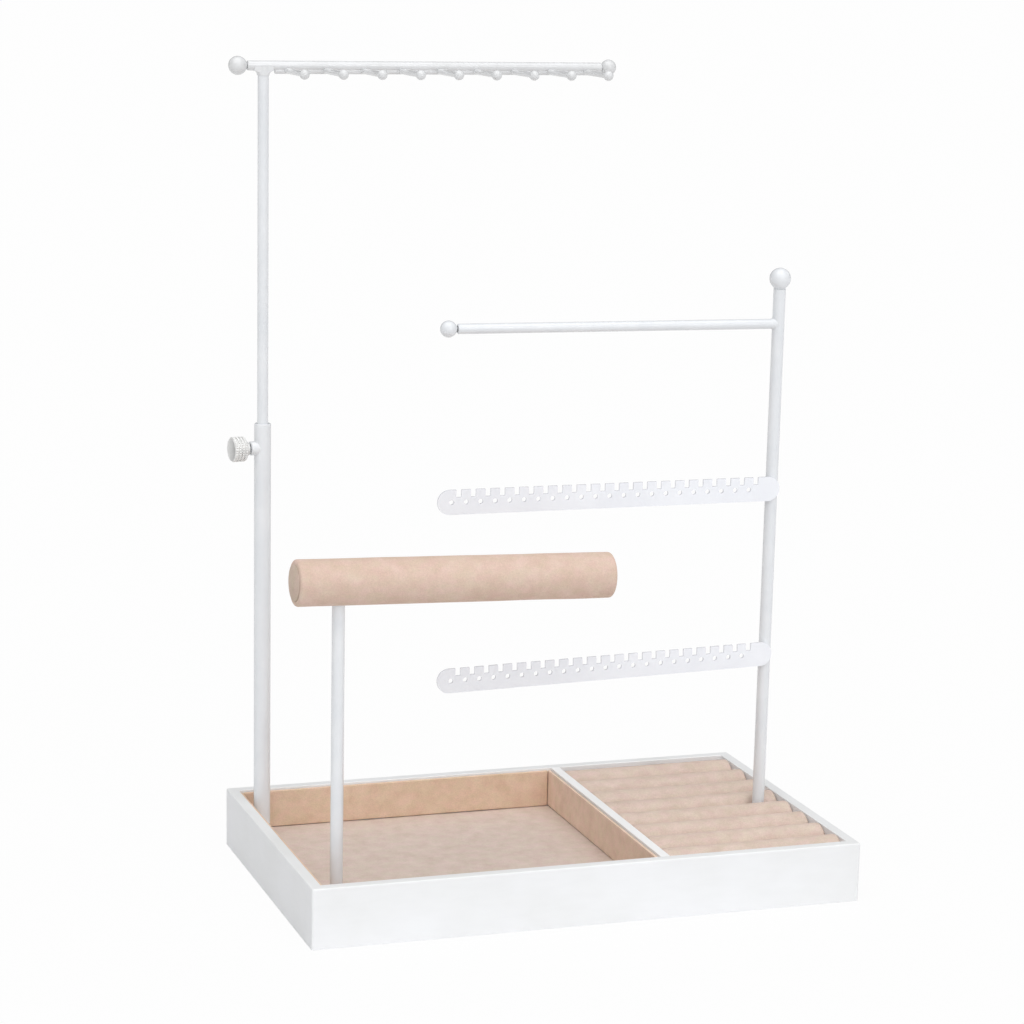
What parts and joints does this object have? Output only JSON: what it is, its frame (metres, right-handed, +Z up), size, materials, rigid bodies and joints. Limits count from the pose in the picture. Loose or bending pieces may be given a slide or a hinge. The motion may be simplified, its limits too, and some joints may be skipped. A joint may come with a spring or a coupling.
{
  "type": "jewelry stand",
  "caption": "Tabletop jewelry stand: white lined tray with padded ring rolls, height-adjustable necklace mast with pegs, padded bracelet bar and earring strips.",
  "frame": {"origin": "centre of the base's rectangle, on the surface it stands on", "axes": "+X to the right along the base's long side, +Y to the back, +Z up; seen from the front the mast is at the left and back"},
  "size_m": [0.3046, 0.184, 0.4318],
  "materials": {
    "white_wood": "white satin paint on board",
    "panel_board": "white sealed board",
    "base_felt": "thin felt",
    "velvet_card": "beige velvet over card",
    "ring_foam": "beige velvet over foam",
    "white_metal": "white baked enamel",
    "plain_steel": "zinc plated",
    "bright_knob": "nickel plated, knurled",
    "dowel": "plain wood",
    "roll_foam": "wadding",
    "roll_velvet": "beige velvet sleeve"
  },
  "bodies": {
    "stand": {"front_wall": "white_wood", "back_wall": "white_wood", "left_wall": "white_wood", "right_wall": "white_wood", "divider": "white_wood", "bottom_panel": "panel_board", "base_felt": "base_felt", "tray_floor_pad": "velvet_card", "left_liner": "velvet_card", "divider_liner": "velvet_card", "front_liner": "velvet_card", "back_liner": "velvet_card", "ring_bed": "velvet_card", "ring_roll_1": "ring_foam", "ring_roll_2": "ring_foam", "ring_roll_3": "ring_foam", "ring_roll_4": "ring_foam", "ring_roll_5": "ring_foam", "ring_roll_6": "ring_foam", "ring_roll_7": "ring_foam", "ring_roll_8": "ring_foam", "mast_tube": "white_metal", "clamp_boss": "white_metal", "display_post": "white_metal", "display_post_ball": "white_metal", "side_bar": "white_metal", "side_bar_ball": "white_metal", "earring_strip_upper": "white_metal", "earring_strip_lower": "white_metal", "bracelet_post": "white_metal", "mast_foot_plug": "plain_steel", "post_screws": "plain_steel", "post_washers": "plain_steel", "roll_core": "dowel", "roll_padding": "roll_foam", "roll_velvet": "roll_velvet", "roll_left_cap": "roll_velvet", "roll_right_cap": "roll_velvet"},
    "mast_rod": {"mast_rod": "white_metal"},
    "crossbar": {"crossbar": "white_metal", "crossbar_tee": "white_metal", "crossbar_left_ball": "white_metal", "crossbar_right_ball": "white_metal", "peg_rail": "white_metal", "necklace_peg_1": "white_metal", "necklace_peg_2": "white_metal", "necklace_peg_3": "white_metal", "necklace_peg_4": "white_metal", "necklace_peg_5": "white_metal", "necklace_peg_6": "white_metal", "necklace_peg_7": "white_metal", "necklace_peg_8": "white_metal", "necklace_peg_9": "white_metal"},
    "clamp_stud": {"clamp_stud": "plain_steel"},
    "clamp_knob": {"clamp_knob": "bright_knob"}
  },
  "joints": [
    {"name": "mast_lift", "type": "slide", "parent": "stand", "child": "mast_rod", "axis": [0, 0, 1], "range_m": [-0.17, 0.015]},
    {"name": "mast_swivel", "type": "hinge", "parent": "mast_rod", "child": "crossbar", "pos_m": [-0.1361, 0.066, 0.427], "axis": [0, 0, 1], "continuous": true},
    {"name": "clamp_travel", "type": "slide", "parent": "stand", "child": "clamp_stud", "axis": [-0.9925, -0.1219, 0], "range_m": [0, 0.0015]},
    {"name": "clamp_turn", "type": "hinge", "parent": "clamp_stud", "child": "clamp_knob", "pos_m": [-0.1361, 0.066, 0.227], "axis": [-0.9925, -0.1219, 0], "range_deg": [0, 720]}
  ],
  "couplings": [
    {"joint": "clamp_travel", "follows": "clamp_turn", "m_per_rad": 0.00011141}
  ]
}
